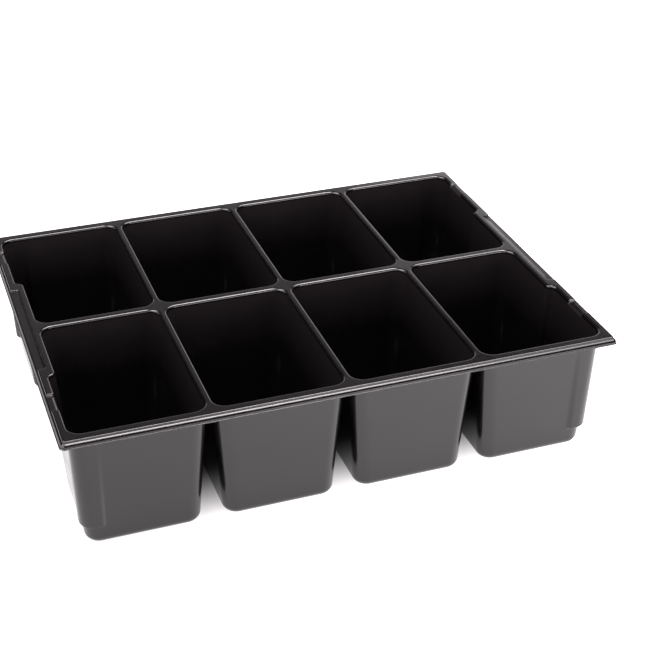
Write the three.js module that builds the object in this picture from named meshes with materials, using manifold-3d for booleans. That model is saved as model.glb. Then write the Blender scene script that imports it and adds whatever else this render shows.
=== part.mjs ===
// Eight-cell growing tray, formed from one sheet of black plastic.
// Millimetres, +Z up, X along the long side, the tray stands on z = 0.
// The moulding is split where its regions meet: eight cells, the raised
// deck around their mouths, the outer rim and a grip ledge at each end.
import * as THREE from 'three';
import Module from 'manifold-3d';

const wasm = await Module();
wasm.setup();

// ---- overall ----
const LENGTH = 400;          // over the rim, along X
const WIDTH = 308;           // over the rim, along Y
const HEIGHT = 97;           // deck top above the table
const SHEET = 1.0;           // wall thickness everywhere
const GAP = 0.3;             // clearance left between neighbouring regions

// ---- cells ----
const COLUMNS = 4;
const ROWS = 2;
const END_MARGIN = 8.0;      // rim edge to the end cells' mouths, along X
const SIDE_MARGIN = 9.85;    // rim edge to the cells' mouths, along Y
const WEB_X = 4.9;           // deck between two mouths side by side
const WEB_Y = 6.6;           // deck between the two rows
const MOUTH_X = (LENGTH - 2 * END_MARGIN - (COLUMNS - 1) * WEB_X) / COLUMNS;
const MOUTH_Y = (WIDTH - 2 * SIDE_MARGIN - (ROWS - 1) * WEB_Y) / ROWS;
const DRAFT = 0.07;          // walls lean in this much per mm of depth
const CORNER_R = 9.5;        // inside corner of a cell, seen from above
const FLOOR_R = 6.0;         // outside curve from wall to floor
const MOUTH_R = 1.8;         // roll of the deck into each mouth
const RIM_DEPTH = 2.7;       // the deck's turned-down walls reach this deep

// ---- end walls: stepped in behind the grip ledges ----
const JOG_IN = 5.3;          // how far the wall steps in
const JOG_START = 71.5;      // from the cell's outer mouth edge, along Y
const JOG_R = 4.0;
const JOG_TURN = Math.PI / 3;

// ---- stacking columns on the four outer corners ----
const LUG_REACH = 16.5;      // length of each column face, from the mouth edge
const LUG_BLEND = 1.6;       // width of the soft side of a column
const LUG_DRAFT = 0.038;     // the columns lean less than the walls
const LUG_DEPTH = 80;        // deck top to the shoulder under a column
const LUG_SHOULDER = 1.8;    // height taken by the shoulder

// ---- deck edge, rim and grip ledges ----
const STEP = 1.7;            // deck top down to the rim
const RIM_WIDTH = 2.0;       // rim edge to the deck's upstand
const RIM_R = 4.0;           // rim corner, seen from above
const LIP = 2.5;             // turned-down lip below the rim
const EDGE_R = 0.8;          // round on the top edge of the deck and rim
const GRIP_IN = 8.2;         // rim edge to the upstand behind a grip ledge
const GRIP_HALF = 59;        // half the length of a grip ledge
const GRIP_R = 3.0;

// ---- notches across the deck at each end ----
const NOTCHES = [[41, 62], [259, 280]];   // along Y from the front edge

const ARC = 5;               // facets in a quarter turn
const plastic = () => new THREE.MeshStandardMaterial({
  color: 0x17171a, roughness: 0.32, metalness: 0,
});

// Quarter turns and bends are written once, as points with the direction
// each one faces (n) and the direction its wall leans in with depth (lean).
function bend(cx, cy, r, from, to, steps, lean, hollow = false) {
  const pts = [];
  for (let i = 0; i <= steps; i++) {
    const a = from + (to - from) * i / steps;
    const c = Math.cos(a), s = Math.sin(a);
    pts.push({
      x: cx + r * c, y: cy + r * s,
      n: hollow ? [-c, -s] : [c, s], lean, lug: 0,
    });
  }
  return pts;
}

// Mouth outline of a plain cell, counter-clockwise.
function plainMouth(x0, y0, x1, y1) {
  const r = CORNER_R, q = Math.PI / 2;
  return [
    ...bend(x0 + r, y0 + r, r, 2 * q, 3 * q, ARC, [1, 1]),
    ...bend(x1 - r, y0 + r, r, 3 * q, 4 * q, ARC, [-1, 1]),
    ...bend(x1 - r, y1 - r, r, 0, q, ARC, [-1, -1]),
    ...bend(x0 + r, y1 - r, r, q, 2 * q, ARC, [1, -1]),
  ];
}

// Mouth outline of the front-left cell: stepped end wall, one column corner.
function cornerMouth(x0, y0, x1, y1) {
  const r = CORNER_R, q = Math.PI / 2, j = JOG_R, t = JOG_TURN;
  const flat = (x, y, n, lean, lug) => ({ x, y, n, lean, lug });
  const corner = bend(x0 + r, y0 + r, r, 2 * q, 3 * q, ARC, [1, 1]);
  corner.forEach((p) => { p.lug = 1; });
  const yJog = y0 + JOG_START;
  const slope = (JOG_IN - 2 * j * (1 - Math.cos(t))) / Math.sin(t);
  const rise = 2 * j * Math.sin(t) + slope * Math.cos(t);
  return [
    ...corner,
    flat(x0 + LUG_REACH, y0, [0, -1], [0, 1], 1),
    flat(x0 + LUG_REACH + LUG_BLEND, y0, [0, -1], [0, 1], 0),
    ...bend(x1 - r, y0 + r, r, 3 * q, 4 * q, ARC, [-1, 1]),
    ...bend(x1 - r, y1 - r, r, 0, q, ARC, [-1, -1]),
    ...bend(x0 + JOG_IN + r, y1 - r, r, q, 2 * q, ARC, [1, -1]),
    ...bend(x0 + JOG_IN - j, yJog + rise, j, 0, -t, 3, [1, 0], true),
    ...bend(x0 + j, yJog, j, Math.PI - t, Math.PI, 3, [1, 0]),
    flat(x0, y0 + LUG_REACH + LUG_BLEND, [-1, 0], [1, 0], 0),
    flat(x0, y0 + LUG_REACH, [-1, 0], [1, 0], 1),
  ];
}

// Mirror an outline about the tray's centre lines, keeping its direction.
function mirrored(pts, flipX, flipY) {
  const out = pts.map((p) => ({
    x: flipX ? LENGTH - p.x : p.x,
    y: flipY ? WIDTH - p.y : p.y,
    n: [flipX ? -p.n[0] : p.n[0], flipY ? -p.n[1] : p.n[1]],
    lean: [flipX ? -p.lean[0] : p.lean[0], flipY ? -p.lean[1] : p.lean[1]],
    lug: p.lug,
  }));
  return flipX !== flipY ? out.reverse() : out;
}

// One ring of a cell wall: `depth` below the deck, `out` beyond the inner
// face, `inset` pulled in along the floor curve.
function ring(mouth, depth, out, inset = 0) {
  return mouth.map((p) => {
    let lean = DRAFT * depth;
    if (p.lug && depth <= LUG_DEPTH) lean = LUG_DRAFT * depth;
    const soft = p.lean[1] === 0 && p.n[1] !== 0;
    const dir = soft ? [-p.lean[0], 0] : p.n;
    return new THREE.Vector3(
      p.x + p.lean[0] * lean + p.n[0] * out - dir[0] * inset,
      p.y + p.lean[1] * lean + p.n[1] * out - dir[1] * inset,
      HEIGHT - depth,
    );
  });
}

// Collects triangles and shifts the finished body to the part's frame.
class Skin {
  constructor() { this.v = []; }
  tri(a, b, c) { this.v.push(a, b, c); }
  // joins two rings of equal length; the surface faces outward when the
  // rings run counter-clockwise and `b` lies above `a`
  band(a, b) {
    for (let i = 0; i < a.length; i++) {
      const k = (i + 1) % a.length;
      this.tri(a[i], a[k], b[k]);
      this.tri(a[i], b[k], b[i]);
    }
  }
  stack(rings) {
    for (let i = 0; i + 1 < rings.length; i++) this.band(rings[i], rings[i + 1]);
  }
  // flat cap over an outline with optional holes, facing up or down
  cap(outline, holes, up) {
    const flat = (r) => r.map((p) => new THREE.Vector2(p.x, p.y));
    const all = [outline, ...holes].flat();
    const faces = THREE.ShapeUtils.triangulateShape(flat(outline), holes.map(flat));
    for (const [a, b, c] of faces) {
      const s = new THREE.Vector3().crossVectors(
        all[b].clone().sub(all[a]), all[c].clone().sub(all[a])).z;
      if ((s > 0) === up) this.tri(all[a], all[b], all[c]);
      else this.tri(all[a], all[c], all[b]);
    }
  }
  solid() {
    const keys = new Map(), verts = [], tris = [];
    for (const p of this.v) {
      const x = p.x - LENGTH / 2, y = p.y - WIDTH / 2;
      const key = [x, y, p.z].map((n) => n.toFixed(4)).join(' ');
      if (!keys.has(key)) {
        keys.set(key, verts.length / 3);
        verts.push(x, y, p.z);
      }
      tris.push(keys.get(key));
    }
    return new wasm.Manifold(new wasm.Mesh({
      numProp: 3,
      vertProperties: new Float32Array(verts),
      triVerts: new Uint32Array(tris),
    }));
  }
}

function block(x0, x1, y0, y1, z0, z1) {
  const skin = new Skin();
  const loop = (z) => [[x0, y0], [x1, y0], [x1, y1], [x0, y1]]
    .map(([x, y]) => new THREE.Vector3(x, y, z));
  const lo = loop(z0), hi = loop(z1);
  skin.band(lo, hi);
  skin.cap(lo, [], false);
  skin.cap(hi, [], true);
  return skin.solid();
}

function toMesh(name, solid) {
  const m = solid.getMesh();
  const geo = new THREE.BufferGeometry();
  const pos = [];
  for (let i = 0; i < m.numVert; i++) {
    for (let k = 0; k < 3; k++) pos.push(m.vertProperties[i * m.numProp + k]);
  }
  geo.setAttribute('position', new THREE.Float32BufferAttribute(pos, 3));
  geo.setIndex(Array.from(m.triVerts));
  geo.computeVertexNormals();
  const mesh = new THREE.Mesh(geo, plastic());
  mesh.name = name;
  return mesh;
}

// ---- the eight cells ----
function cellBody(mouth, hasColumn) {
  const curve = (r) => [3, 2, 1, 0].map((i) => {
    const a = i * Math.PI / 6;
    return [HEIGHT - r * (1 - Math.sin(a)), r * (1 - Math.cos(a))];
  });
  const shoulder = hasColumn ? [LUG_DEPTH + LUG_SHOULDER, LUG_DEPTH] : [];
  const outside = [
    ...curve(FLOOR_R).map(([d, inset]) => ring(mouth, d, SHEET, inset)),
    ...shoulder.map((d) => ring(mouth, d, SHEET)),
    ring(mouth, RIM_DEPTH + GAP, SHEET),
  ];
  const inside = [
    ring(mouth, RIM_DEPTH + GAP, 0),
    ...[...shoulder].reverse().map((d) => ring(mouth, d - SHEET / 2, 0)),
    ...curve(FLOOR_R - SHEET).reverse()
      .map(([d, inset]) => ring(mouth, d - SHEET, 0, inset)),
  ];
  const skin = new Skin();
  skin.stack([...outside, ...inside]);
  skin.cap(outside[0], [], false);
  skin.cap(inside[inside.length - 1], [], true);
  return skin.solid();
}

const mouths = [];
for (let row = 0; row < ROWS; row++) {
  for (let col = 0; col < COLUMNS; col++) {
    const x0 = END_MARGIN + col * (MOUTH_X + WEB_X);
    const y0 = SIDE_MARGIN + row * (MOUTH_Y + WEB_Y);
    const end = col === 0 || col === COLUMNS - 1;
    const mouth = end
      ? mirrored(cornerMouth(END_MARGIN, SIDE_MARGIN, END_MARGIN + MOUTH_X,
        SIDE_MARGIN + MOUTH_Y), col > 0, row > 0)
      : plainMouth(x0, y0, x0 + MOUTH_X, y0 + MOUTH_Y);
    mouths.push({ name: `cell_${row ? 'back' : 'front'}_${col + 1}`, mouth, end });
  }
}

// ---- outlines of the rim and of the raised deck ----
function roundedLoop(inset, radius) {
  const q = Math.PI / 2, a = inset + radius;
  const X = LENGTH - a, Y = WIDTH - a;
  return [
    ...bend(a, a, radius, 2 * q, 3 * q, ARC, [1, 1]),
    ...bend(X, a, radius, 3 * q, 4 * q, ARC, [-1, 1]),
    ...bend(X, Y, radius, 0, q, ARC, [-1, -1]),
    ...bend(a, Y, radius, q, 2 * q, ARC, [1, -1]),
  ];
}

// The deck's edge: inside the rim, and stepped in around the grip ledges.
function deckLoop() {
  const q = Math.PI / 2, w = RIM_WIDTH, r = 2.5, g = GRIP_R;
  const near = WIDTH / 2 - GRIP_HALF;
  const ledgeEnd = [
    ...bend(w + r, near - r, r, q, 2 * q, 3, [1, 0]),
  ];
  const ledgeRoot = bend(GRIP_IN - g, near + g, g, 0, -q, 3, [1, 0], true);
  const half = [
    ...ledgeRoot, ...ledgeEnd,
    ...bend(w + r, w + r, r, 2 * q, 3 * q, ARC, [1, 1]),
  ];
  const frontRight = mirrored(half, true, false);
  const backRight = mirrored(half, true, true);
  const backLeft = mirrored(half, false, true);
  return [...half, ...frontRight, ...backRight, ...backLeft];
}

const grown = (loop, out, z) => loop.map((p) => (
  new THREE.Vector3(p.x + p.n[0] * out, p.y + p.n[1] * out, z)));

// ---- raised deck with eight rolled mouths ----
function deckBody() {
  const skin = new Skin();
  const quarter = [0, 1, 2, 3].map((i) => i * Math.PI / 6);
  const edge = deckLoop();
  const foot = HEIGHT - STEP - SHEET;
  const outer = [
    grown(edge, 0, foot),
    ...quarter.slice().reverse().map((a) => grown(edge,
      -EDGE_R * (1 - Math.sin(a)), HEIGHT - EDGE_R * (1 - Math.cos(a)))),
  ];
  const under = [grown(edge, -SHEET, HEIGHT - SHEET), grown(edge, -SHEET, foot)];
  skin.stack([...under, ...outer]);
  const top = outer[outer.length - 1], bottom = under[0];
  const topHoles = [], bottomHoles = [];
  for (const { mouth } of mouths) {
    const roll = (radius, out, sink) => quarter.map((a) => ring(mouth,
      sink + radius * (1 - Math.cos(a)), out + radius * (1 - Math.sin(a))));
    const seen = roll(MOUTH_R, 0, 0);
    const back = roll(MOUTH_R - SHEET, SHEET, SHEET);
    skin.stack([
      ...seen, ring(mouth, RIM_DEPTH, 0), ring(mouth, RIM_DEPTH, SHEET),
      ...back.reverse(),
    ]);
    topHoles.push(seen[0]);
    bottomHoles.push(back[back.length - 1]);
  }
  skin.cap(top, topHoles, true);
  skin.cap(bottom, bottomHoles, false);
  let body = skin.solid();
  for (const [y0, y1] of NOTCHES) {
    for (const flip of [false, true]) {
      const span = (a, b) => (flip ? [LENGTH - b, LENGTH - a] : [a, b]);
      body = body.add(block(...span(RIM_WIDTH, END_MARGIN), y0 - SHEET, y1 + SHEET,
        HEIGHT - RIM_DEPTH, HEIGHT - SHEET / 2));
      body = body.subtract(block(...span(-1, END_MARGIN + 1), y0, y1,
        HEIGHT - STEP, HEIGHT + 1));
    }
  }
  return body;
}

// ---- rim: flat flange, rounded edge and turned-down lip ----
function rimBody() {
  const loop = roundedLoop(0, RIM_R);
  const top = HEIGHT - STEP;
  const arc = [0, 1, 2, 3].map((i) => i * Math.PI / 6);
  const section = [
    [-(RIM_WIDTH - GAP), top],
    ...arc.map((a) => [-EDGE_R * (1 - Math.sin(a)), top - EDGE_R * (1 - Math.cos(a))]),
    [0, top - LIP], [-SHEET, top - LIP], [-SHEET, top - SHEET],
    [-(RIM_WIDTH - GAP), top - SHEET],
  ];
  const skin = new Skin();
  const rings = section.map(([out, z]) => grown(loop, out, z));
  skin.stack([rings[0], ...rings.slice().reverse()]);
  return skin.solid();
}

// ---- grip ledges, level with the rim ----
function gripBody(flip) {
  const q = Math.PI / 2, r = GRIP_R - GAP;
  const x0 = RIM_WIDTH, x1 = GRIP_IN - GAP;
  const y0 = WIDTH / 2 - GRIP_HALF + GAP, y1 = WIDTH - y0;
  const loop = mirrored([
    { x: x0, y: y1, n: [0, 0], lean: [0, 0] }, { x: x0, y: y0, n: [0, 0], lean: [0, 0] },
    ...bend(x1 - r, y0 + r, r, 3 * q, 4 * q, ARC, [0, 0]),
    ...bend(x1 - r, y1 - r, r, 0, q, ARC, [0, 0]),
  ], flip, false);
  const skin = new Skin();
  const lo = grown(loop, 0, HEIGHT - STEP - SHEET), hi = grown(loop, 0, HEIGHT - STEP);
  skin.band(lo, hi);
  skin.cap(lo, [], false);
  skin.cap(hi, [], true);
  return skin.solid();
}

const tray = new THREE.Group();
tray.name = 'cell_tray';
for (const { name, mouth, end } of mouths) tray.add(toMesh(name, cellBody(mouth, end)));
tray.add(toMesh('deck', deckBody()));
tray.add(toMesh('rim', rimBody()));
tray.add(toMesh('grip_ledge_left', gripBody(false)));
tray.add(toMesh('grip_ledge_right', gripBody(true)));

export default tray;
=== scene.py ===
import math

import bmesh
import bpy
import numpy as np
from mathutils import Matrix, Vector
from mathutils.geometry import delaunay_2d_cdt


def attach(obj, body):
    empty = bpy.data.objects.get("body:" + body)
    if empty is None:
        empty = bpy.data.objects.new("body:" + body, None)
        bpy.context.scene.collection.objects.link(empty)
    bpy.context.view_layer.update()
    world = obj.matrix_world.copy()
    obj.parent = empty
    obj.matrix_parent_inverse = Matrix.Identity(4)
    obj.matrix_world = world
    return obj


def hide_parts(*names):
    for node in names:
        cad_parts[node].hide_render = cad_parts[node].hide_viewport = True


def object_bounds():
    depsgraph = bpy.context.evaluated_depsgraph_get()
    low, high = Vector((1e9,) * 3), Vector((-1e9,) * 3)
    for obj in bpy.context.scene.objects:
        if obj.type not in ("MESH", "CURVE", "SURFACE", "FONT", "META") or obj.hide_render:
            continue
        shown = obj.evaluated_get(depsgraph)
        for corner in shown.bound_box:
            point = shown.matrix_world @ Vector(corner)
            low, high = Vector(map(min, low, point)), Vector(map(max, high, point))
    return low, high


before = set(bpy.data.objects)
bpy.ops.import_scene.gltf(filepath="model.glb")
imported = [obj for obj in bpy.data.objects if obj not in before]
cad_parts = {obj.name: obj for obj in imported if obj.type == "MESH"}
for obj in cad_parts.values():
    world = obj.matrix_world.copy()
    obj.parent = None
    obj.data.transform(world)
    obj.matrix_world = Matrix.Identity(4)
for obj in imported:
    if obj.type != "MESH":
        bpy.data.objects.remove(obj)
CAD_LOW, CAD_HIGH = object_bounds()

# The tray is one formed sheet, packed as twelve regions. Each region is
# rebuilt here as a fine closed shell with real radii, in millimetres from the
# rim's front left corner, z up from the table, and then moved to the frame.
MM = 0.001
ORIGIN = Vector((CAD_LOW.x, CAD_LOW.y, CAD_LOW.z))
LENGTH, WIDTH, HEIGHT = [round(v / MM, 3) for v in CAD_HIGH - CAD_LOW]

# ---- the sheet and the cells ----
SHEET = 1.0                   # wall thickness
END_MARGIN, SIDE_MARGIN = 8.0, 9.85    # from the rim's edge to the nearest mouths
WEB_X, WEB_Y = 4.9, 6.6       # deck between two mouths side by side, and two rows
COLUMNS, ROWS = 4, 2
MOUTH_X = (LENGTH - 2 * END_MARGIN - (COLUMNS - 1) * WEB_X) / COLUMNS
MOUTH_Y = (WIDTH - 2 * SIDE_MARGIN - (ROWS - 1) * WEB_Y) / ROWS
DRAFT = 0.07                  # walls lean in this much per mm of depth
CORNER_R = 9.5                # corners of a mouth, seen from above
FLOOR_R, FLOOR_IN_R = 6.0, 2.6     # curve from wall to floor, outside and inside
MOUTH_R = 1.8                 # roll of the deck into each mouth
SEAM = 2.7                    # depth where the deck's walls meet the cells'
TOP_RINGS = 6                 # rings from the seam to the foot of a notch's roll
WALL_DEPTHS = (14, 24, 36, 48, 58)    # rings down a cell's wall, above the shoulder
LAST_DEPTH = 85               # the last ring above the floor's curve

# The end walls step in by JOG_IN. A stacking column (lug) on each outer corner
# leans less than the walls and ends in a shoulder near the floor.
JOG_IN, JOG_START, JOG_R, JOG_TURN = 5.3, 71.5, 4.0, math.pi / 3
LUG_REACH, LUG_BLEND, LUG_DRAFT = 16.0, 4.0, 0.038
LUG_DEPTH, LUG_SHOULDER = 79.4, 2.6
LUG_EARLY = 14.0              # the shoulder starts this much higher inside a cell
LUG_STEPS = 8                 # facets down the shoulder

# ---- deck edge, rim, grip ledges and notches ----
STEP = 1.7                    # deck top down to the rim
FILLET = 0.2                  # concave, where the deck rises from the rim
RIM_WIDTH, RIM_R, LIP = 2.5, 4.0, 3.2    # flange, its corners, its turned-down lip
EDGE_R = 1.0                  # the round on the deck's top edge
DECK_R = 2.5                  # the deck's corners, seen from above
DECK_UNDER_R = 0.35           # bends under the deck, at its foot and its top
RIM_EDGE_R, RIM_FALL = 0.6, 0.3    # the flange's outer roll; it starts this much lower
RIM_TILT = math.radians(35)   # the sloped band faces this far above level
RIM_SLOPE, RIM_KNEE_R = 1.15, 0.5  # its length, and its bend into the upright lip
BEAD = 0.3                    # the lip's bottom edge flares out this far
LIP_R = 0.32                  # the round of that edge
HEEL = 0.35                   # inside the lip, the slope starts this far under the knee
HEEL_SOFT = (0.1, 0.06)       # heights below and above its meeting with the flange
LEDGE_FOOT, LEDGE_BROW = (3.0, 1.0), (1.6, 0.7)    # softer curves behind a ledge
LEDGE_FADE = 6.0              # length over which those curves come in
GRIP_IN, GRIP_HALF, GRIP_R, GRIP_TURN = 8.2, 59.0, 2.2, 1.8
LEDGE_SLACK = 1.0             # the deck's foot behind a ledge lies within this of it
NOTCHES = ((41.0, 62.0), (259.0, 280.0))
NOTCH_SOFT = 0.9              # length over which a notch's end wall rises
NOTCH_R = 3.2                 # its roll into the cell, from the rim down
NOTCH_STEPS = 8               # facets across an end wall of a notch
NOTCH_CREEP = 0.8             # part of the fillet that the edge's rings fill in a notch
NOTCH_TURN = math.acos(1 - (SEAM - STEP) / NOTCH_R)

ARC = 12                      # facets in a quarter turn seen from above
ROLL = 8                      # facets across a roll
SMALL_ARC = 8                 # facets in a bend of the jog or the grip ledge
SIDE_STEPS = 6                # facets across a column's soft side
SPACING = 9.0                 # about the longest facet along a straight wall
SPACING_SLACK = 0.4           # a facet may be longer by this share of itself
END_ZONE, MARGIN_ZONE = 9.0, 7.0   # this near an end: a notched wall, the deck's margin
SHARP = math.radians(42)      # edges sharper than this are not smoothed
TINY = 0.001                  # points this close lie on the same line
STRAIGHT, CLEAR = 0.01, 0.02  # limits for a wall along Y, and for its own end points
TRIANGLES_INSIDE, MERGE = 1, 1e-6    # what the triangulation keeps, and joins
Q = math.pi / 2
TURNS = [i / ROLL * Q for i in range(ROLL + 1)]    # angles round a roll

# Columns of an outline's points: place, facing, lean with depth, share in a
# stacking column, and the facing that insets go by.
X, Y, NX, NY, LX, LY, LUG, DX, DY = range(9)


def ease(t):
    """Smooth step from 0 to 1."""
    t = np.clip(t, 0.0, 1.0)
    return t * t * (3 - 2 * t)


def spot(x, y, n, lean, lug=0.0, inward=None):
    """One point of an outline, facing n; `inward` replaces n for insets."""
    d = inward or n
    return [x, y, *n, *lean, lug, *d]


def bend(cx, cy, r, start, end, steps, lean, hollow=False, lug=0.0, inward=None):
    """Points round an arc, each with the direction it faces."""
    pts = []
    for i in range(steps + 1):
        a = start + (end - start) * i / steps
        c, s = math.cos(a), math.sin(a)
        n = (-c, -s) if hollow else (c, s)
        pts.append(spot(cx + r * c, cy + r * s, n, lean, lug, inward))
    return pts


def spaced(pts):
    """Adds points along the straight parts of a closed outline."""
    out = []
    for a, b in zip(pts, pts[1:] + pts[:1]):
        a, b = np.array(a, float), np.array(b, float)
        n = max(1, math.ceil(np.hypot(*(b - a)[:2]) / SPACING - SPACING_SLACK))
        out += [list(a + (b - a) * i / n) for i in range(n)]
    return out


def notch_lines():
    """Y of every cross line that shapes a notch's two end walls."""
    steps = np.linspace(-NOTCH_SOFT / 2, NOTCH_SOFT / 2, NOTCH_STEPS + 1)
    return sorted(round(e + s, 3) for pair in NOTCHES for e in pair for s in steps)


def with_notch_lines(pts):
    """Splits the outline's end walls where the notch lines cross them."""
    out = []
    for a, b in zip(pts, pts[1:] + pts[:1]):
        out.append(a)
        outer = min(a[X], b[X], LENGTH - a[X], LENGTH - b[X]) < END_ZONE
        if not outer or abs(a[X] - b[X]) > STRAIGHT:
            continue
        hits = [y for y in notch_lines()
                if min(a[Y], b[Y]) + CLEAR < y < max(a[Y], b[Y]) - CLEAR]
        for y in sorted(hits, reverse=bool(a[Y] > b[Y])):
            t = (y - a[Y]) / (b[Y] - a[Y])
            out.append([u + (v - u) * t for u, v in zip(a, b)])
    return out


def mirrored(pts, flip_x, flip_y):
    """The outline on the tray's other end or side, still counter-clockwise."""
    out = []
    for p in pts:
        q = list(p)
        if flip_x:
            q[X] = LENGTH - q[X]
            q[NX], q[LX], q[DX] = -q[NX], -q[LX], -q[DX]
        if flip_y:
            q[Y] = WIDTH - q[Y]
            q[NY], q[LY], q[DY] = -q[NY], -q[LY], -q[DY]
        out.append(q)
    return out[::-1] if flip_x != flip_y else out


def plain_mouth(x0, y0, x1, y1):
    """A middle cell: four rounded corners."""
    r = CORNER_R
    return [
        *bend(x0 + r, y0 + r, r, 2 * Q, 3 * Q, ARC, (1, 1)),
        *bend(x1 - r, y0 + r, r, 3 * Q, 4 * Q, ARC, (-1, 1)),
        *bend(x1 - r, y1 - r, r, 0, Q, ARC, (-1, -1)),
        *bend(x0 + r, y1 - r, r, Q, 2 * Q, ARC, (1, -1)),
    ]


def corner_mouth(x0, y0, x1, y1):
    """Front left cell: stepped end wall and a stacking column.

    The step is two bends with a straight slope between, `rise` long along Y.
    """
    r, j, t = CORNER_R, JOG_R, JOG_TURN
    y_jog = y0 + JOG_START
    slope = (JOG_IN - 2 * j * (1 - math.cos(t))) / math.sin(t)
    rise = 2 * j * math.sin(t) + slope * math.cos(t)
    sides = [i / SIDE_STEPS for i in range(SIDE_STEPS + 1)]
    front = [spot(x0 + LUG_REACH + LUG_BLEND * s, y0, (0, -1), (0, 1), 1 - ease(s))
             for s in sides]
    end = [spot(x0, y0 + LUG_REACH + LUG_BLEND * s, (-1, 0), (1, 0), 1 - ease(s))
           for s in reversed(sides)]
    return [
        *bend(x0 + r, y0 + r, r, 2 * Q, 3 * Q, ARC, (1, 1), lug=1.0),
        *front,
        *bend(x1 - r, y0 + r, r, 3 * Q, 4 * Q, ARC, (-1, 1)),
        *bend(x1 - r, y1 - r, r, 0, Q, ARC, (-1, -1)),
        *bend(x0 + JOG_IN + r, y1 - r, r, Q, 2 * Q, ARC, (1, -1)),
        *bend(x0 + JOG_IN - j, y_jog + rise, j, 0, -t, SMALL_ARC, (1, 0), True,
              inward=(-1, 0)),
        *bend(x0 + j, y_jog, j, math.pi - t, math.pi, SMALL_ARC, (1, 0),
              inward=(-1, 0)),
        *end,
    ]


def notch_weight(a):
    """1 in a notch, 0 outside it, for the points of the two end walls."""
    h = NOTCH_SOFT / 2
    w = np.zeros(len(a))
    for lo, hi in NOTCHES:
        w += ease((a[:, Y] - lo + h) / (2 * h)) * (1 - ease((a[:, Y] - hi + h) / (2 * h)))
    return w * (np.minimum(a[:, X], LENGTH - a[:, X]) < END_ZONE)


class Outline:
    """A closed loop seen from above, counter-clockwise."""

    def __init__(self, pts):
        self.a = np.array(with_notch_lines(spaced(pts)))
        self.notch = notch_weight(self.a)
        reach = GRIP_HALF - 2 * GRIP_R - np.abs(self.a[:, Y] - WIDTH / 2)
        self.ledge = ease(reach / LEDGE_FADE)

    def mix(self, plain, notched):
        """Goes from the plain value to the one in a notch, point by point."""
        return plain if notched is None else plain + (notched - plain) * self.notch

    def wall(self, depth, out, notched=None, inset=0.0, early=0.0):
        """A ring of a cell's wall; `notched` is its (depth, out) in a notch.

        `inset` moves it in round the floor's curve, and `early` raises the
        start of the column's shoulder.
        """
        a = self.a
        depth, out = (np.broadcast_to(self.mix(v, notched and notched[i]), len(a))
                      for i, v in enumerate((depth, out)))
        keep = 1 - ease((depth - LUG_DEPTH + early) / (LUG_SHOULDER + early))
        lean = depth * (DRAFT + (LUG_DRAFT - DRAFT) * a[:, LUG] * keep)
        x = a[:, X] + a[:, LX] * lean + a[:, NX] * out - a[:, DX] * inset
        y = a[:, Y] + a[:, LY] * lean + a[:, NY] * out - a[:, DY] * inset
        return np.stack([x, y, HEIGHT - depth], 1)

    def edge(self, out, z, notched=None, ledged=None):
        """A ring of an outer edge, with its (out, z) in a notch and at a ledge."""
        a = self.a
        out, z = (np.broadcast_to(self.mix(v, notched and notched[i]), len(a))
                  for i, v in enumerate((out, z)))
        if ledged:
            out = out + (ledged[0] - out) * self.ledge
            z = z + (ledged[1] - z) * self.ledge
        return np.stack([a[:, X] + a[:, NX] * out, a[:, Y] + a[:, NY] * out, z], 1)


class Shell:
    """Collects rings and caps into one closed mesh."""

    def __init__(self):
        self.verts, self.faces = [], []

    def ring(self, pts):
        """Adds a ring of points and returns their numbers."""
        start = len(self.verts)
        self.verts += [tuple(p) for p in pts]
        return list(range(start, start + len(pts)))

    def band(self, low, high):
        """Joins two rings with a strip of faces."""
        n = len(low)
        for i in range(n):
            k = (i + 1) % n
            self.faces.append((low[i], low[k], high[k], high[i]))

    def stack(self, rings):
        """Joins each ring to the next."""
        for low, high in zip(rings, rings[1:]):
            self.band(low, high)

    def piece(self, name, node, material):
        """Makes the object that stands for one packed region."""
        mesh = bpy.data.meshes.new(name)
        co = (np.array(self.verts) * MM + np.array(ORIGIN)).tolist()
        mesh.from_pydata(co, [], self.faces)
        bm = bmesh.new()
        bm.from_mesh(mesh)
        bmesh.ops.recalc_face_normals(bm, faces=bm.faces)
        for f in bm.faces:
            f.smooth = True
        for e in bm.edges:
            e.smooth = len(e.link_faces) == 2 and e.calc_face_angle() < SHARP
        bm.to_mesh(mesh)
        bm.free()
        mesh.materials.append(material)
        obj = bpy.data.objects.new(name, mesh)
        bpy.context.scene.collection.objects.link(obj)
        even = obj.modifiers.new("even_shading", "WEIGHTED_NORMAL")
        even.keep_sharp = True
        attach(obj, "root")
        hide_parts(node)
        return obj


def inside(loop, pts):
    """Which points lie inside a closed loop, seen from above."""
    hit = np.zeros(len(pts), bool)
    for (ax, ay), (bx, by) in zip(loop, np.roll(loop, -1, 0)):
        cross = (ay > pts[:, 1]) != (by > pts[:, 1])
        with np.errstate(divide="ignore", invalid="ignore"):
            at = ax + (pts[:, 1] - ay) / (by - ay) * (bx - ax)
        hit ^= cross & (pts[:, 0] < at)
    return hit


def sheet_between(shell, outer, holes, lines, up):
    """Fills the deck between its edge and the mouths, along given lines."""
    ids = [*outer, *(i for h in holes for i in h)]
    flat = np.array([shell.verts[i][:2] for i in ids])
    edges, start = [], 0
    for loop in (outer, *holes):
        n = len(loop)
        edges += [(start + i, start + (i + 1) % n) for i in range(n)]
        start += n
    at = {i: k for k, i in enumerate(ids)}
    edges += [(at[a], at[b]) for a, b in lines]
    _, _, tris, came_from, _, _ = delaunay_2d_cdt(
        [Vector(p) for p in flat], edges, [], TRIANGLES_INSIDE, MERGE)
    tris = np.array([[came_from[v][0] for v in t] for t in tris])
    mid = flat[tris].mean(1)
    keep = inside(flat[[at[i] for i in outer]], mid)
    for h in holes:
        keep &= ~inside(flat[[at[i] for i in h]], mid)
    for t in tris[keep]:
        a, b, c = (ids[k] for k in (t if up else t[::-1]))
        shell.faces.append((a, b, c))


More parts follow.
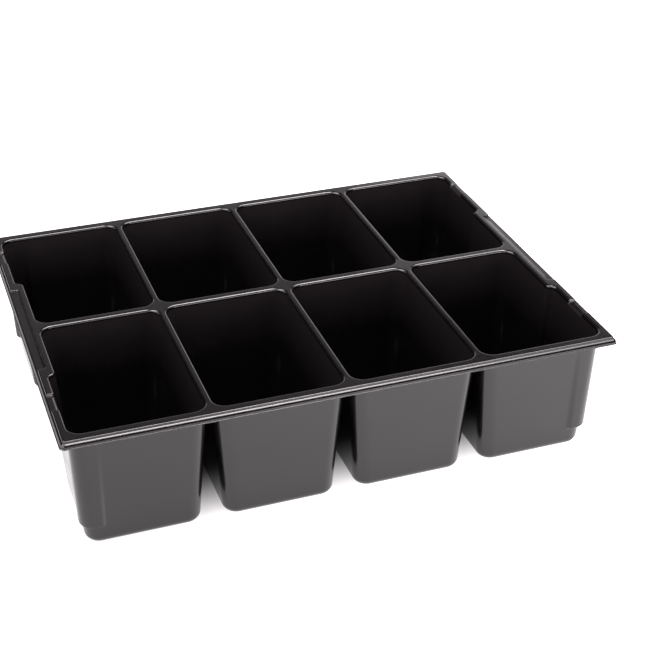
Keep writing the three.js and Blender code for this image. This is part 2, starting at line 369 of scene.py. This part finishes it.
# ---- material ----
PAINTED_LIGHT_START, PAINTED_LIGHT_END = 6, 45  # depths between which the painted light on a cell's walls fades out
NOISE_MIDDLE = (0.3, 0.7)     # most of a noise lies between these values
STYRENE_IOR = 1.5

# Each noise is its scale, its detail and its roughness; depths are in metres.
TONE_NOISE, TONE_SPREAD = (28, 5, 0.5), (0.85, 1.15)
ROUGH_NOISE, ROUGH_SPREAD = (60, 6, 0.6), (0.85, 1.2)
SKIN_NOISE, SKIN_DEPTH = (700, 1, 0.5), 0.00005
WAVE_NOISE, WAVE_STRENGTH, WAVE_DEPTH = (14, 0, 0.4), 0.06, 0.0008


def ramp(tree, value, start, end, low, high):
    """Goes from low to high as value goes from start to end."""
    n = tree.nodes.new("ShaderNodeMapRange")
    n.inputs["From Min"].default_value = start
    n.inputs["From Max"].default_value = end
    n.inputs["To Min"].default_value = low
    n.inputs["To Max"].default_value = high
    tree.links.new(value, n.inputs["Value"])
    return n.outputs["Result"]


def blend(tree, factor, a, b):
    """Mixes from a to b; each of the two is a plain colour or a socket."""
    n = tree.nodes.new("ShaderNodeMix")
    n.data_type = "RGBA"
    tree.links.new(factor, n.inputs["Factor"])
    for socket, value in ((n.inputs["A"], a), (n.inputs["B"], b)):
        if isinstance(value, tuple):
            socket.default_value = (*value, 1)
        else:
            tree.links.new(value, socket)
    return n.outputs["Result"]


def black_plastic(name, shade, rough, grain, painted_light=None):
    """Formed black styrene: satin, faintly wavy, with a fine skin texture.

    The last argument is painted light: the colour that the top of the cells' walls is
    lightened to, standing in for the light that falls in there.
    """
    mat = bpy.data.materials.new(name)
    mat.use_nodes = True
    t = mat.node_tree
    t.nodes.clear()
    link = t.links.new
    out = t.nodes.new("ShaderNodeOutputMaterial")
    bsdf = t.nodes.new("ShaderNodeBsdfPrincipled")
    link(bsdf.outputs[0], out.inputs[0])
    bsdf.inputs["IOR"].default_value = STYRENE_IOR
    where = t.nodes.new("ShaderNodeTexCoord").outputs["Object"]

    def noise(scale, detail, roughness):
        n = t.nodes.new("ShaderNodeTexNoise")
        n.inputs["Scale"].default_value = scale
        n.inputs["Detail"].default_value = detail
        n.inputs["Roughness"].default_value = roughness
        link(where, n.inputs["Vector"])
        return n.outputs["Fac"]

    def bump(height, strength, depth):
        n = t.nodes.new("ShaderNodeBump")
        n.inputs["Strength"].default_value = strength
        n.inputs["Distance"].default_value = depth
        link(height, n.inputs["Height"])
        return n

    dark, light = (tuple(c * f for c in shade) for f in TONE_SPREAD)
    patches = ramp(t, noise(*TONE_NOISE), *NOISE_MIDDLE, 0, 1)
    colour = blend(t, patches, dark, light)
    # Painted light: towards the top of a cell's walls the colour turns lighter, where more
    # light falls in.
    if painted_light:
        place = t.nodes.new("ShaderNodeSeparateXYZ")
        link(where, place.inputs[0])
        up = ramp(t, place.outputs["Z"], CAD_HIGH.z - PAINTED_LIGHT_END * MM,
                  CAD_HIGH.z - PAINTED_LIGHT_START * MM, 0, 1)
        colour = blend(t, up, colour, painted_light)
    link(colour, bsdf.inputs["Base Color"])
    least, most = (rough * f for f in ROUGH_SPREAD)
    link(ramp(t, noise(*ROUGH_NOISE), *NOISE_MIDDLE, least, most),
         bsdf.inputs["Roughness"])
    skin = bump(noise(*SKIN_NOISE), grain, SKIN_DEPTH)
    wave = bump(noise(*WAVE_NOISE), WAVE_STRENGTH, WAVE_DEPTH)
    link(wave.outputs["Normal"], skin.inputs["Normal"])
    link(skin.outputs["Normal"], bsdf.inputs["Normal"])
    return mat


# The second colour is painted light on the cells' walls, lighter near the top where more
# light falls in.
BLACK, PAINTED_TOP_LIGHT = (0.0014, 0.0012, 0.0014), (0.0066, 0.0056, 0.0064)
SATIN, GRAIN = 0.19, 0.05     # roughness, and strength of the fine skin
plastic = black_plastic("formed_black_plastic", BLACK, SATIN, GRAIN)
cell_plastic = black_plastic("formed_black_plastic_cell", BLACK, SATIN, GRAIN, PAINTED_TOP_LIGHT)

# ---- the eight cells ----
mouths = []
for row in range(ROWS):
    for col in range(COLUMNS):
        if col in (0, COLUMNS - 1):
            pts = mirrored(corner_mouth(END_MARGIN, SIDE_MARGIN, END_MARGIN + MOUTH_X,
                                        SIDE_MARGIN + MOUTH_Y), col > 0, row > 0)
        else:
            x0 = END_MARGIN + col * (MOUTH_X + WEB_X)
            y0 = SIDE_MARGIN + row * (MOUTH_Y + WEB_Y)
            pts = plain_mouth(x0, y0, x0 + MOUTH_X, y0 + MOUTH_Y)
        mouths.append((f"cell_{('front', 'back')[row]}_{col + 1}", Outline(pts)))


def notch_roll(angle, thick):
    """(depth, out) on a notch's roll; `thick` is 0 on top, SHEET beneath."""
    r = NOTCH_R - thick
    return (STEP + thick + r * (1 - math.cos(angle)), thick + r * (1 - math.sin(angle)))


def cell(name, mouth):
    """A cell from the seam down, as one closed shell."""
    shell = Shell()

    def side(thick, reach, floor_r, early):
        """Rings from the seam down, round the floor curve."""
        rings = []
        for i in range(TOP_RINGS + 1):
            s = i / TOP_RINGS
            turn = NOTCH_TURN + (Q - NOTCH_TURN) * s
            plain = SEAM + (NOTCH_R + STEP - SEAM) * s
            rings.append(mouth.wall(plain, reach, notch_roll(turn, thick)))
        shoulder = [LUG_DEPTH - early + (LUG_SHOULDER + early) * i / LUG_STEPS
                    for i in range(LUG_STEPS + 1)]
        depths = (*WALL_DEPTHS, *shoulder, LAST_DEPTH)
        rings += [mouth.wall(d, reach, early=early) for d in depths]
        floor = HEIGHT - (0 if thick else SHEET)
        rings += [mouth.wall(floor - floor_r * (1 - math.sin(a)), reach,
                             inset=floor_r * (1 - math.cos(a))) for a in TURNS]
        return [shell.ring(r) for r in rings]

    outer = side(SHEET, SHEET, FLOOR_R, 0.0)
    inner = side(0.0, 0.0, FLOOR_IN_R, LUG_EARLY)
    shell.stack(outer[::-1])
    shell.band(outer[0], inner[0])
    shell.stack(inner)
    shell.faces.append(tuple(outer[-1][::-1]))
    shell.faces.append(tuple(inner[-1]))
    return shell.piece(name + "_shell", name, cell_plastic)


for name, mouth in mouths:
    cell(name, mouth)


# ---- outlines of the rim and the raised deck ----
def rim_outline():
    """The outer edge of the whole tray."""
    r = RIM_R
    x, y = LENGTH - r, WIDTH - r
    return [
        *bend(r, r, r, 2 * Q, 3 * Q, ARC, (0, 0)),
        *bend(x, r, r, 3 * Q, 4 * Q, ARC, (0, 0)),
        *bend(x, y, r, 0, Q, ARC, (0, 0)),
        *bend(r, y, r, Q, 2 * Q, ARC, (0, 0)),
    ]


def deck_half():
    """Half of the deck's edge at one end: grip ledge, then front corner."""
    w, r, g, t = RIM_WIDTH, DECK_R, GRIP_R, GRIP_TURN
    near = WIDTH / 2 - GRIP_HALF
    return [
        *bend(GRIP_IN - g, near + g, g, 0, -Q, SMALL_ARC, (0, 0), True),
        *bend(w + t, near - t, t, Q, 2 * Q, SMALL_ARC, (0, 0)),
        *bend(w + r, w + r, r, 2 * Q, 3 * Q, ARC, (0, 0)),
    ]


half = deck_half()
deck_edge = Outline([*half, *mirrored(half, True, False), *mirrored(half, True, True),
                     *mirrored(half, False, True)])


def deck():
    """The raised top: its edge, the eight rolled mouths and the sheet between them."""
    shell = Shell()
    low, high = HEIGHT - STEP, HEIGHT

    def profile(foot, brow):
        """(out, z) up the deck's edge, round its foot and its brow."""
        rings = [(foot[0] * (1 - math.sin(a)), low + foot[1] * (1 - math.cos(a)))
                 for a in TURNS[::2]]
        return rings + [(-brow[0] * (1 - math.cos(a)), high - brow[1] * (1 - math.sin(a)))
                        for a in TURNS]

    def roll(mouth, thick, radius):
        """Rings of a mouth's roll, from the flat down to the seam."""
        rings = [mouth.wall(thick + radius * (1 - math.cos(a)),
                            thick + radius * (1 - math.sin(a)),
                            notch_roll(NOTCH_TURN * i / (ROLL + 1), thick))
                 for i, a in enumerate(TURNS)]
        rings.append(mouth.wall(SEAM, thick, notch_roll(NOTCH_TURN, thick)))
        return [shell.ring(p) for p in rings]

    # The edge, seen from outside. In a notch its rings lie level with the rim.
    plain = profile((FILLET, FILLET), (EDGE_R, EDGE_R))
    soft = profile(LEDGE_FOOT, LEDGE_BROW)
    last = len(plain) - 1
    seen = [deck_edge.edge(*at, (FILLET * (1 - NOTCH_CREEP * i / last), low), soft[i])
            for i, at in enumerate(plain)]

    # The underside of the same edge.
    r = DECK_UNDER_R
    beneath = [(-SHEET + r, low - SHEET)]
    beneath += [(-SHEET + r * (1 - math.sin(a)), low - SHEET + r * (1 - math.cos(a)))
                for a in TURNS[2::2]]
    beneath += [(-SHEET, high - SHEET - r)]
    beneath += [(-SHEET - r * (1 - math.cos(a)), high - SHEET - r * (1 - math.sin(a)))
                for a in TURNS[2::2]]
    last = len(beneath)
    under = low - SHEET
    hidden = [deck_edge.edge(FILLET, under, ledged=(LEDGE_FOOT[0], under))]
    hidden += [deck_edge.edge(out, z, (FILLET * (1 - NOTCH_CREEP * (i + 1) / last), under))
               for i, (out, z) in enumerate(beneath)]
    hidden = [shell.ring(p) for p in hidden]
    seen = [shell.ring(p) for p in seen]
    shell.stack(hidden[::-1] + seen)

    top_holes, under_holes = [], []
    for _, mouth in mouths:
        upper, lower = roll(mouth, 0.0, MOUTH_R), roll(mouth, SHEET, MOUTH_R - SHEET)
        shell.stack(upper)
        shell.band(upper[-1], lower[-1])
        shell.stack(lower[::-1])
        top_holes.append(upper[0])
        under_holes.append(lower[0])

    # Across the end margins the sheet follows the notch lines, which join a
    # point of the deck's edge to one of a mouth.
    for outer, holes, up in ((seen[-1], top_holes, True),
                             (hidden[-1], under_holes, False)):
        by_line = {}
        for i in (*outer, *(j for h in holes for j in h)):
            x, y = shell.verts[i][:2]
            on_line = any(abs(y - n) < TINY for n in notch_lines())
            if min(x, LENGTH - x) < MARGIN_ZONE and on_line:
                by_line.setdefault((x > LENGTH / 2, round(y, 2)), []).append(i)
        lines = [pair for pair in by_line.values() if len(pair) == 2]
        sheet_between(shell, outer, holes, lines, up)
    return shell.piece("deck_shell", "deck", plastic)


deck()


def rim():
    """Flat flange, rounded edge, sloped band and upright lip, as one closed loop."""
    loop = Outline(rim_outline())
    top, foot = HEIGHT - STEP, HEIGHT - STEP - LIP
    flange_in = -(RIM_WIDTH - FILLET)
    crown = top - RIM_FALL
    flare = foot + LIP_R
    upright = -(BEAD + LIP_R)
    c, s = math.cos(RIM_TILT), math.sin(RIM_TILT)
    roll_out = upright - RIM_KNEE_R * (1 - c) - RIM_SLOPE * s - RIM_EDGE_R * c
    knee_z = crown - RIM_EDGE_R * (1 - s) - RIM_SLOPE * c - RIM_KNEE_R * s

    # (out, z) round the section: over the edge and down the slope to the knee,
    section = [(flange_in, top)]
    for i in range(2 * ROLL + 1):
        a = Q + (RIM_TILT - Q) * i / (2 * ROLL)
        section.append((roll_out + RIM_EDGE_R * math.cos(a),
                        crown - RIM_EDGE_R * (1 - math.sin(a))))
    for i in range(ROLL + 1):
        a = RIM_TILT * (1 - i / ROLL)
        section.append((upright - RIM_KNEE_R * (1 - math.cos(a)),
                        knee_z + RIM_KNEE_R * math.sin(a)))

    # down the lip, out along its flare and round its bottom edge,
    section += [(-LIP_R - BEAD * math.cos(a), flare + BEAD * (1 - math.sin(a)))
                for a in TURNS]
    section += [(-LIP_R * (1 - math.cos(a)), foot + LIP_R * math.sin(a))
                for a in reversed(TURNS[:-1])]
    section += [(-SHEET + LIP_R * (1 - math.sin(a)), foot + LIP_R * (1 - math.cos(a)))
                for a in TURNS]

    # then back up inside the lip and along the flange's underside.
    under = top - SHEET
    heel = knee_z - HEEL
    below, above = HEEL_SOFT
    section += [(-SHEET, heel),
                (-SHEET - (under - below - heel) * s / c, under - below),
                (-SHEET - (under + above - heel) * s / c, under),
                (flange_in, under)]
    shell = Shell()
    rings = [shell.ring(loop.edge(out, z)) for out, z in section]
    shell.stack([*rings, rings[0]])
    return shell.piece("rim_shell", "rim", plastic)


rim()


def grip_ledge(flip):
    """Level with the rim, filling the space behind it up to the deck's foot."""
    level = HEIGHT - STEP
    edge = deck_edge.edge(FILLET, level, ledged=(LEDGE_FOOT[0], level))
    own = [p for p in edge if p[0] < GRIP_IN + LEDGE_SLACK
           and abs(p[1] - WIDTH / 2) < GRIP_HALF + GRIP_TURN + TINY]
    own = sorted(own, key=lambda p: (p[1], p[0] if p[1] < WIDTH / 2 else -p[0]))
    pts = np.array([p[:2] for p in own])
    if flip:
        pts = np.stack([LENGTH - pts[:, 0], pts[:, 1]], 1)[::-1]
    shell = Shell()
    low, high = (shell.ring(np.column_stack([pts, np.full(len(pts), z)]))
                 for z in (level - SHEET, level))
    shell.band(low, high)
    shell.faces.append(tuple(low[::-1]))
    shell.faces.append(tuple(high))
    side = "right" if flip else "left"
    return shell.piece(f"grip_ledge_{side}_shell", f"grip_ledge_{side}", plastic)


grip_ledge(False)
grip_ledge(True)

# ---- camera ----
camera = bpy.data.cameras.new("camera")
camera.lens, camera.sensor_width = 81.23, 36.0
CAMERA_AT, CAMERA_LOOKS = (-0.29329, -0.92189, 0.62671), (0.2863, 0.8155, -0.5031)
cam = bpy.data.objects.new("camera", camera)
cam.location = CAMERA_AT
cam.rotation_mode = "QUATERNION"
cam.rotation_quaternion = Vector(CAMERA_LOOKS).to_track_quat("-Z", "Y")
bpy.context.scene.collection.objects.link(cam)
bpy.context.scene.camera = cam

# ---- floor, light and sky ----
FLOOR_HALF = 6.0              # metres, as everything below
FLOOR_DROP = 0.0002           # keeps the floor just clear of the tray's feet
corners = [(x * FLOOR_HALF, y * FLOOR_HALF, 0)
           for x, y in ((-1, -1), (1, -1), (1, 1), (-1, 1))]
floor_mesh = bpy.data.meshes.new("floor")
floor_mesh.from_pydata(corners, [], [(0, 1, 2, 3)])
light_table = bpy.data.materials.new("light_table")
light_table.use_nodes = True
table = light_table.node_tree
paper = table.nodes["Principled BSDF"]
paper.inputs["Base Color"].default_value = (0.2, 0.2, 0.2, 1)
paper.inputs["Roughness"].default_value = 0.9
paper.inputs["Emission Color"].default_value = (1.0, 0.97, 0.985, 1)


def table_math(operation, a, b=0.0):
    """A math node on the floor's material; a and b are sockets or numbers."""
    n = table.nodes.new("ShaderNodeMath")
    n.operation = operation
    for socket, value in zip(n.inputs, (a, b)):
        if isinstance(value, (int, float)):
            socket.default_value = value
        else:
            table.links.new(value, socket)
    return n.outputs[0]


# The table glows, but not where the tray's feet shade it, and more to the right.
# Far out it is white, so that it meets the white background without a line.
FOOT_INSET = 17               # mm from the rim's edge in to the feet
SHADE_IN, SHADE_OUT, SHADE_POWER = -0.065, 0.004, 2.2    # from the line of the feet
GLOW_LEFT, GLOW_RIGHT = (-0.3, 0.92), (0.4, 2.06)        # (x, strength)
FAR_START, FAR_END, FAR_GLOW = 0.5, 1.0, 1.3             # also from the feet
place = table.nodes.new("ShaderNodeSeparateXYZ")
table.links.new(table.nodes.new("ShaderNodeTexCoord").outputs["Object"], place.inputs[0])


def past_feet(axis, length):
    """Distance outside the line of the feet, along one axis."""
    foot = (length / 2 - FOOT_INSET) * MM
    return table_math("SUBTRACT", table_math("ABSOLUTE", place.outputs[axis]), foot)


away = table_math("MAXIMUM", past_feet("X", LENGTH), past_feet("Y", WIDTH))
shade = table_math("POWER", ramp(table, away, SHADE_IN, SHADE_OUT, 0.0, 1.0), SHADE_POWER)
glow = table_math("MULTIPLY", shade,
                  ramp(table, place.outputs["X"], GLOW_LEFT[0], GLOW_RIGHT[0],
                       GLOW_LEFT[1], GLOW_RIGHT[1]))
glow = table_math("MAXIMUM", glow, ramp(table, away, FAR_START, FAR_END, 0.0, FAR_GLOW))
table.links.new(glow, paper.inputs["Emission Strength"])
floor_mesh.materials.append(light_table)
floor = bpy.data.objects.new("floor", floor_mesh)
floor.location.z = CAD_LOW.z - FLOOR_DROP
bpy.context.scene.collection.objects.link(floor)

LAMP_FAR, LAMP_AIM = 2.2, 0.053    # distance, and height of the point aimed at
LAMP_TINT = (1.0, 0.94, 0.95)


def softbox(name, azimuth, elevation, spread, radiance):
    """A rectangular light aimed at the tray; azimuth 0 is the front, 90 the right.

    Angles are in degrees, and `spread` is the width and height seen from the tray.
    """
    lamp = bpy.data.lights.new(name, "AREA")
    lamp.shape = "RECTANGLE"
    lamp.size, lamp.size_y = [2 * LAMP_FAR * math.tan(math.radians(v) / 2) for v in spread]
    lamp.energy = radiance * math.pi * lamp.size * lamp.size_y
    lamp.color = LAMP_TINT
    turn, lift = math.radians(azimuth), math.radians(elevation)
    toward = Vector((math.sin(turn) * math.cos(lift), -math.cos(turn) * math.cos(lift),
                     math.sin(lift)))
    obj = bpy.data.objects.new(name, lamp)
    obj.location = toward * LAMP_FAR + Vector((0, 0, LAMP_AIM))
    obj.rotation_mode = "QUATERNION"
    obj.rotation_quaternion = (-toward).to_track_quat("-Z", "Y")
    obj.visible_camera = False
    bpy.context.scene.collection.objects.link(obj)


softbox("overhead_front", 27, 76, (32, 20), 24.0)
softbox("overhead_right", 90, 74, (13, 13), 20.0)
softbox("high_right", 90, 57, (45, 24), 10.0)
softbox("high_left", 270, 57, (45, 24), 13.0)
softbox("front_left", 300, 32, (50, 20), 5.0)
softbox("left_low", 265, 14, (50, 20), 3.0)
softbox("front_low", 0, 11, (56, 18), 4.5)
softbox("front_right_low", 22, 12, (24, 14), 8.0)
softbox("back_right", 138, 20, (34, 17), 1.15)
softbox("back_mid", 176, 31, (40, 16), 0.3)
softbox("back_low", 170, 13, (60, 18), 1.1)

# The sky is white behind the tray, but lights it only dimly.
DIM, WHITE = (0.03, 0.028, 0.028), (1, 1, 1)
world = bpy.data.worlds.new("studio")
bpy.context.scene.world = world
world.use_nodes = True
sky = world.node_tree
seen = sky.nodes.new("ShaderNodeLightPath")
backdrop = blend(sky, seen.outputs["Is Camera Ray"], DIM, WHITE)
sky.links.new(backdrop, sky.nodes["Background"].inputs["Color"])
bpy.context.scene.view_settings.view_transform = "Standard"
